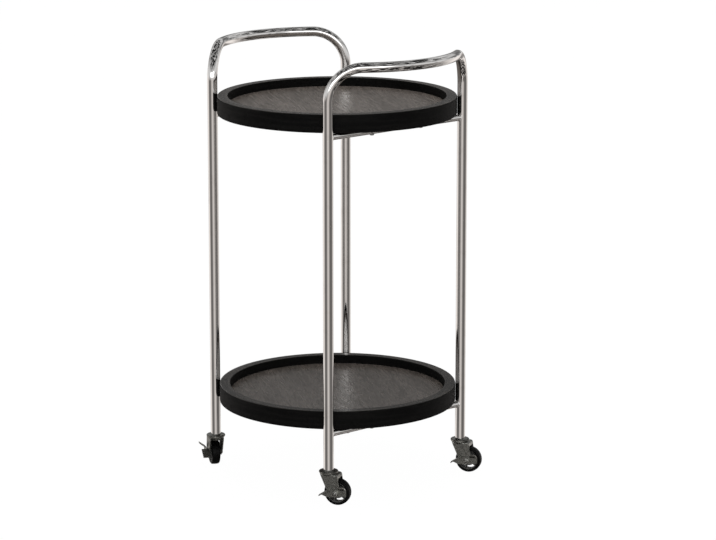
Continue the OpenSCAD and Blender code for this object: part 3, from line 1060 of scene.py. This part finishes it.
@dataclass
class Caster:
    """Swivel caster: forked housing, wheel with tyre, axle bolt and nut, and side brake lever."""

    name: str
    joints: dict[str, dict]
    nodes: dict[str, bpy.types.Object]
    tyre_w: float = 16.0 * MM
    shoulder: float = 3.0 * MM
    seat: float = 0.05 * MM
    crown: float = 0.25 * MM
    lip: float = 0.3 * MM
    ridge: float = 0.18 * MM
    ridge_w: float = 0.35 * MM
    tread_rows: int = 35
    even_share: float = 0.15
    shoulder_steps: int = 10
    axle_r: float = 3.0 * MM
    pitch: float = 1.0 * MM
    thread_deep: float = 0.55 * MM
    thread_long: float = 9.0 * MM
    pitch_rows: int = 10
    hex_w: float = 10.0 * MM
    head_h: float = 2.4 * MM
    face_share: float = 0.94
    cone_rows: int = 8
    edge: float = 0.4 * MM
    columns: int = 96

    def __post_init__(self) -> None:
        """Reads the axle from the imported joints, and the hub's radius and the lever's side from the nodes."""
        spin = self.joints[self.name + "_spin"]
        self.axle = np.array(spin["pos_m"], float)
        self.v = np.array(spin["axis"], float)
        self.u = np.array([self.v[1], -self.v[0], 0.0])
        self.wheel_r = float(self.axle[2])
        low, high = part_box(self.name + "_hub")
        self.hub_r = (high.z - low.z) / 2
        low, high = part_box(self.name + "_nut")
        middle = np.array((low + high) / 2)
        self.brake_side = 1.0 if (middle - self.axle) @ self.v > 0 else -1.0

    def along_axle(self, part: Surface) -> Surface:
        """Carries a part whose Z is the axle, towards the brake, to its place."""
        axis = self.v * self.brake_side
        return part.placed(self.axle, self.u, np.cross(axis, self.u), axis)

    def span(self, node: str) -> tuple[float, float]:
        """Lowest and highest place of a node along the axle, towards the brake.

        Args:
            node: the node's name without the caster's.

        Returns:
            Both places, measured from the middle of the axle.
        """
        mesh = self.nodes[f"{self.name}_{node}"].data
        points = np.empty(3 * len(mesh.vertices), np.float32)
        mesh.vertices.foreach_get("co", points)
        place = (points.reshape(-1, 3) - self.axle) @ (self.v * self.brake_side)
        return float(place.min()), float(place.max())

    def cone(self, face: float, rise: float) -> np.ndarray:
        """Chamfer cone of a hexagon: at height h above its face the radius is face_r + h / tan 30.

        Args:
            face: height of the flat face.
            rise: 1 where the body lies above the face, and -1 where it lies below.

        Returns:
            Radius and height from the face's edge to the full corner.
        """
        corner = self.hex_w / 2 / math.cos(math.pi / 6)
        radius = np.linspace(self.face_share * self.hex_w / 2, corner, self.cone_rows)
        return np.stack([radius, face + rise * (radius - radius[0]) * math.tan(math.pi / 6)], -1)

    def flats(self, blank: np.ndarray, lowest: float, highest: float) -> np.ndarray:
        """Six flats cut into a turned blank: r = min(r, half width / cos(a mod 60 - 30)).

        Args:
            blank: the blank's outline.
            lowest: where the flats start.
            highest: where the flats end.

        Returns:
            What the cut takes from the radius, array (rows, columns), zero or less.
        """
        sector = math.pi / 3
        flat = self.hex_w / 2 / np.cos(np.mod(turn_angles(self.columns), sector) - sector / 2)
        cut = np.minimum(flat - blank[:, :1], 0.0)
        inside = (blank[:, 1] >= lowest - TINY) & (blank[:, 1] <= highest + TINY)
        return np.where(inside[:, None], cut, 0.0)

    def bolt(self) -> Surface:
        """Axle bolt: chamfered hexagon head, plain shank, and a helical thread with a chamfered end.

        The thread's radius is r - deep |2 frac(z / pitch - a / turn) - 1|, and it fades in at its root.

        Returns:
            The closed surface, in its place.
        """
        low, high = self.span("bolt")
        root = high - self.edge - self.thread_long
        rows = int(round(self.thread_long / self.pitch * self.pitch_rows))
        z = np.linspace(root, high - self.edge, rows + 1)
        thread = np.stack([np.full(len(z), self.axle_r), z], -1)
        head = self.cone(low, 1.0)
        blank = np.vstack([[[TINY, low]], head, [[head[-1, 0], low + self.head_h]],
                           [[self.axle_r, low + self.head_h]], thread,
                           [[self.axle_r - self.thread_deep, high]], [[TINY, high]]])
        turn = turn_angles(self.columns) / TAU
        share = np.mod(z[:, None] / self.pitch - turn[None], 1.0)
        fade = np.clip((z - root) / self.pitch, 0.0, 1.0)[:, None]
        ripple = self.flats(blank, low, low + self.head_h)
        start = len(head) + 3
        ripple[start:start + len(z)] -= self.thread_deep * fade * np.abs(2 * share - 1)
        return self.along_axle(lathe(blank, self.columns, ripple))

    def nut(self) -> Surface:
        """Hexagon nut with both faces chamfered, inside and outside.

        Returns:
            The closed surface, in its place.
        """
        low, high = self.span("nut")
        bore = self.axle_r + self.seat
        wide = bore + self.edge
        foot = [[bore, low + self.edge], [wide, low]]
        top = [[wide, high], [bore, high - self.edge]]
        blank = np.vstack([foot, self.cone(low, 1.0), self.cone(high, -1.0)[::-1], top])
        return self.along_axle(lathe(blank, self.columns, self.flats(blank, low, high)))

    def tyre(self) -> Surface:
        """Tyre with rounded shoulders, a slight crown and the thin ridge of the mould's parting.

        Over the tread's width w the radius is rise + crown (1 - w^2) + ridge exp(-(w / ridge_w)^2),
        and its rows crowd about the ridge.

        Returns:
            The closed surface, in its place.
        """
        half = self.tyre_w / 2
        hub = self.hub_r + self.seat
        rise = self.wheel_r - self.crown - self.ridge
        tread = rounded([
            (hub, -half, self.lip), (rise, -half, self.shoulder), (rise, half, self.shoulder),
            (hub, half, self.lip)], self.shoulder_steps)
        share = np.linspace(-1, 1, self.tread_rows)[1:-1]
        share = self.even_share * share + (1 - self.even_share) * share ** 3
        flat = (half - self.shoulder) * share
        line = self.ridge * np.exp(-(flat / self.ridge_w) ** 2)
        top = np.stack([rise + self.crown * (1 - share ** 2) + line, flat], -1)
        split = int(np.argmax(np.diff(tread[:, 1]))) + 1
        return self.along_axle(lathe(np.vstack([tread[:split], top, tread[split:]]), self.columns))

    def build(self) -> None:
        """Makes the tyre, the bolt and the nut, which stand for their nodes."""
        for node, piece, body, surface, finish in (
                ("tyre", "tread", "wheel", self.tyre(), RUBBER),
                ("bolt", "axle_bolt", "fork", self.bolt(), BRIGHT_STEEL),
                ("nut", "axle_nut", "fork", self.nut(), BRIGHT_STEEL)):
            add_piece(surface, f"{self.name}_{piece}", f"{self.name}_{body}", finish, [f"{self.name}_{node}"],
                      weld=node == "bolt")


@dataclass
class Studio:
    """Pale floor, soft light all round, and the camera at the photograph's place.

    The room is given as brightness over the turn, a share of a full turn, and over z, the
    height of a direction. Turn 0 is the camera's side and 0.5 the side behind the table.
    """

    camera_turn: float = math.radians(-40.93)
    camera_reach: float = 5.767
    camera_z: float = 1.672
    pan: float = math.radians(0.389)
    pitch: float = math.radians(12.529)
    focal_px: float = 3114.5
    image_w: float = 716.0
    sensor: float = 36.0
    clip: Pair = (0.1, 100.0)
    floor_half: float = 30.0
    floor_tone: float = 0.55
    floor_glow: float = 1.02
    glow_share: float = 0.97
    lamp_power: float = 42.0
    lamp_size: float = 1.4
    lamp_place: Triple = (-0.1, 0.15, 3.6)
    lamp_aim: Triple = (0.0, 0.0, 0.4)
    low_bands: tuple[Pair, ...] = (
        (0.00, 0.62), (0.020, 0.62), (0.036, 0.20), (0.062, 0.16), (0.080, 0.60), (0.105, 0.92), (0.19, 0.95),
        (0.25, 0.5), (0.30, 0.16), (0.395, 0.14), (0.44, 0.38), (0.478, 0.62), (0.533, 0.62), (0.57, 0.34),
        (0.617, 0.14), (0.735, 0.14), (0.778, 0.34), (0.833, 0.7), (0.885, 0.95), (0.910, 0.90),
        (0.935, 0.30), (0.960, 0.16), (0.980, 0.45), (1.00, 0.62))
    near_fade: tuple[float, ...] = (-0.55, -0.28, 0.04, 1.0)
    far_fade: tuple[float, ...] = (-0.70, -0.40, 0.06, 1.0)
    fade_turn: Pair = (0.30, 0.38)
    side_sky: tuple[Pair, ...] = (
        (0.05, 0.64), (0.30, 0.66), (0.48, 0.34), (0.58, 0.02), (1.0, 0.02))
    back_sky: tuple[Pair, ...] = (
        (0.0, 0.80), (0.09, 0.26), (0.26, 0.13), (0.42, 0.60), (0.53, 0.50), (0.62, 0.03), (1.0, 0.02))
    sky_turn: Pair = (0.29, 0.37)
    horizon: Pair = (-0.12, 0.02)
    waves: Grain = Grain((7.0, 7.0, 1.05), 2.0, 0.6)
    wave_height: float = 0.7
    deep_share: float = 0.7
    deep_wave: Pair = (-0.24, -0.40)
    lift_height: float = 0.9
    glints: Grain = Grain((7.5, 7.5, 1.125), 1.0, 0.5, (0.57, 0.61))
    glint_level: float = 0.80
    glint_low: Pair = (-0.34, -0.50)
    glint_high: Pair = (0.44, 0.56)
    window_level: float = 3.0
    window_turn: Pair = (0.13, 0.08)
    window_foot: Pair = (0.06, 0.12)
    window_top: Pair = (0.36, 0.28)
    room_tint: Triple = (1.0, 0.945, 0.91)
    tint_step: Pair = (0.10, -0.10)
    soft_sky: tuple[float, ...] = (0.0, 0.75, 0.06, 1.02)

    def camera(self) -> None:
        """Camera at the photograph's place, with no shift and no depth of field."""
        away = np.array([math.cos(self.camera_turn), math.sin(self.camera_turn)])
        right = np.array([-away[1], away[0]])
        level = -away * math.cos(self.pan) + right * math.sin(self.pan)
        aim = Vector((*(level * math.cos(self.pitch)), -math.sin(self.pitch)))
        data = bpy.data.cameras.new("Camera")
        data.sensor_width = self.sensor
        data.lens = self.focal_px / self.image_w * self.sensor
        data.clip_start, data.clip_end = self.clip
        cam = bpy.data.objects.new("Camera", data)
        cam.location = (*(away * self.camera_reach), self.camera_z)
        cam.rotation_mode = "QUATERNION"
        cam.rotation_quaternion = aim.to_track_quat("-Z", "Y")
        bpy.context.scene.collection.objects.link(cam)
        bpy.context.scene.camera = cam

    def ground(self, s: Shader, turn: Socket, z: Socket, wave: Socket, glint: Socket) -> Socket:
        """Room below the horizon: upright bands of light and dark, which fade towards the foot.

        Args:
            s: the world's node tree.
            turn: share of a full turn, from -0.5 to 0.5.
            z: height of the direction.
            wave: how far the fade is shifted.
            glint: where a bright spot lies.

        Returns:
            Brightness.
        """
        shift = s.maths("MULTIPLY", s.maths("MULTIPLY", wave, self.deep_share), s.span(z, *self.deep_wave))
        deep = s.maths("ADD", z, shift)
        side = s.maths("ABSOLUTE", turn)
        near, far = s.span(deep, *self.near_fade), s.span(deep, *self.far_fade)
        fade = s.mix(s.span(side, *self.fade_turn), near, far)
        bands = s.maths("MULTIPLY", s.ramp(s.maths("ADD", turn, 0.5), self.low_bands), fade)
        return s.mix(s.maths("MULTIPLY", glint, s.span(z, *self.glint_low)), bands, self.glint_level)

    def sky(self, s: Shader, turn: Socket, z: Socket, wave: Socket, glint: Socket) -> Socket:
        """Room above the horizon: dark overhead, paler at the sides, with a bright window by the camera.

        Args:
            s: the world's node tree.
            turn: share of a full turn, from -0.5 to 0.5.
            z: height of the direction.
            wave: how far the sky's bands are shifted.
            glint: where a bright spot lies.

        Returns:
            Brightness.
        """
        side = s.maths("ABSOLUTE", turn)
        high = s.maths("ADD", z, wave)
        sky = s.mix(s.span(side, *self.sky_turn), s.ramp(high, self.side_sky), s.ramp(high, self.back_sky))
        sky = s.mix(s.maths("MULTIPLY", glint, s.span(z, *self.glint_high)), sky, self.glint_level)
        tall = s.maths("MULTIPLY", s.span(z, *self.window_foot), s.span(z, *self.window_top))
        window = s.maths("MULTIPLY", s.span(side, *self.window_turn), tall)
        return s.mix(window, sky, self.window_level)

    def room(self, s: Shader) -> Socket:
        """What metal and lacquer mirror, a function of the direction in the world.

        Args:
            s: the world's node tree.

        Returns:
            Brightness for the direction that is looked at.
        """
        to_camera = (0.0, 0.0, -self.camera_turn)
        x, y, z = s.split(s.coordinates(turn=to_camera, source="Generated"))
        turn = s.maths("DIVIDE", s.maths("ARCTAN2", y, x), TAU)
        broad = s.maths("SUBTRACT", s.grain(self.waves, to_camera, "Generated"), 0.5)
        wave = s.maths("MULTIPLY", broad, self.wave_height)
        glint = s.grain(self.glints, to_camera, "Generated")
        rise = s.maths("MULTIPLY", broad, self.lift_height)
        lift = s.maths("MULTIPLY", s.maths("SUBTRACT", 1.0, glint), rise, clamp=True)
        above = s.span(s.maths("SUBTRACT", z, lift), *self.horizon)
        return s.mix(above, self.ground(s, turn, z, wave, glint), self.sky(s, turn, z, wave, glint))

    def world(self) -> None:
        """White for the camera, an even soft light on surfaces, and the room for mirrored rays."""
        world = bpy.data.worlds.new("Studio")
        bpy.context.scene.world = world
        world.use_nodes = True
        s = Shader(world.node_tree)
        out = s.node("ShaderNodeOutputWorld")
        path = s.node("ShaderNodeLightPath").outputs
        height = s.split(s.node("ShaderNodeTexCoord").outputs["Generated"])[2]
        seen = s.maths("MAXIMUM", path["Is Camera Ray"], path["Is Transmission Ray"])
        light = s.mix(path["Is Glossy Ray"], s.span(height, *self.soft_sky), self.room(s))
        background = s.node("ShaderNodeBackground")
        warm = s.maths("MULTIPLY", path["Is Glossy Ray"], s.span(height, *self.tint_step))
        s.link(s.tint(warm, (1.0, 1.0, 1.0), self.room_tint), background.inputs["Color"])
        s.link(s.mix(seen, light, 1.0), background.inputs["Strength"])
        s.link(background.outputs[0], out.inputs[0])
        world.cycles.sampling_method = "NONE"

    def floor(self) -> None:
        """Pale floor that shows white to the camera, keeps a soft shadow, and is clear from below."""
        h = self.floor_half
        mesh = bpy.data.meshes.new("Floor")
        mesh.from_pydata([(-h, -h, 0), (h, -h, 0), (h, h, 0), (-h, h, 0)], [], [(0, 1, 2, 3)])
        obj = bpy.data.objects.new("Floor", mesh)
        bpy.context.scene.collection.objects.link(obj)
        made = bpy.data.materials.new("Pale floor")
        made.use_nodes = True
        s = Shader(made.node_tree)
        out = s.node("ShaderNodeOutputMaterial")
        matt = s.node("ShaderNodeBsdfDiffuse")
        matt.inputs["Color"].default_value = (self.floor_tone, self.floor_tone, self.floor_tone, 1.0)
        glow = s.node("ShaderNodeEmission")
        glow.inputs["Strength"].default_value = self.floor_glow
        seen = s.node("ShaderNodeLightPath").outputs["Is Camera Ray"]
        clear = s.node("ShaderNodeBsdfTransparent").outputs[0]
        below = s.node("ShaderNodeNewGeometry").outputs["Backfacing"]
        blend = s.node("ShaderNodeMixShader")
        one_sided = s.node("ShaderNodeMixShader")
        for node, share, first, last in (
                (blend, s.maths("MULTIPLY", seen, self.glow_share), matt.outputs[0], glow.outputs[0]),
                (one_sided, below, blend.outputs[0], clear)):
            s.link(share, node.inputs[0])
            s.link(first, node.inputs[1])
            s.link(last, node.inputs[2])
        s.link(one_sided.outputs[0], out.inputs[0])
        mesh.materials.append(made)
        obj.visible_glossy = False

    def lamp(self) -> None:
        """One soft lamp above and slightly behind, so that the upper tray shades the lower one."""
        data = bpy.data.lights.new("Soft lamp", "AREA")
        data.shape = "DISK"
        data.size = self.lamp_size
        data.energy = self.lamp_power
        obj = bpy.data.objects.new("Soft lamp", data)
        obj.location = self.lamp_place
        obj.rotation_mode = "QUATERNION"
        aim = Vector(self.lamp_aim) - Vector(self.lamp_place)
        obj.rotation_quaternion = aim.to_track_quat("-Z", "Y")
        obj.visible_camera = False
        obj.visible_glossy = False
        bpy.context.scene.collection.objects.link(obj)

    def build(self) -> None:
        """Makes the studio."""
        self.camera()
        self.world()
        self.floor()
        self.lamp()
        bpy.context.scene.view_settings.view_transform = "Standard"


FINISH_OF_SLOT: dict[str, Finish] = {f.slot.value: f for f in (
    CHROME, RIM_STAIN, FLOOR_VENEER, ZINC, BRIGHT_STEEL, BALL_STEEL, HUB_PLASTIC, NYLON, RUBBER)}
CASTERS = ("front_right", "rear_right", "front_left", "rear_left")


def dress_nodes(frame: dict) -> None:
    """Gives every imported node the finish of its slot, and smooth shading.
    """
    slots = {p["node"]: p["material_slot"] for p in frame["record"]["subparts"]}
    for name, obj in frame["nodes"].items():
        dress(obj, FINISH_OF_SLOT[slots[name]])
        smooth_node(obj)


def main() -> None:
    """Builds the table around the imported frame, and the studio around the table."""
    logging.basicConfig(level=logging.INFO, format="%(message)s")
    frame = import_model()
    joints = {j["name"]: j for j in frame["joints"]}
    dress_nodes(frame)
    for side, turn in (("right", 1.0), ("left", -1.0)):
        bent = BentFrame(side + "_frame", turn)
        bent.build()
        for level in ("upper", "lower"):
            TrayRail(f"{side}_{level}_rail", bent).build()
    for level in ("upper", "lower"):
        Tray(level).build()
    for name in CASTERS:
        Caster(name, joints, frame["nodes"]).build()
    Studio().build()


if __name__ == "__main__":
    main()
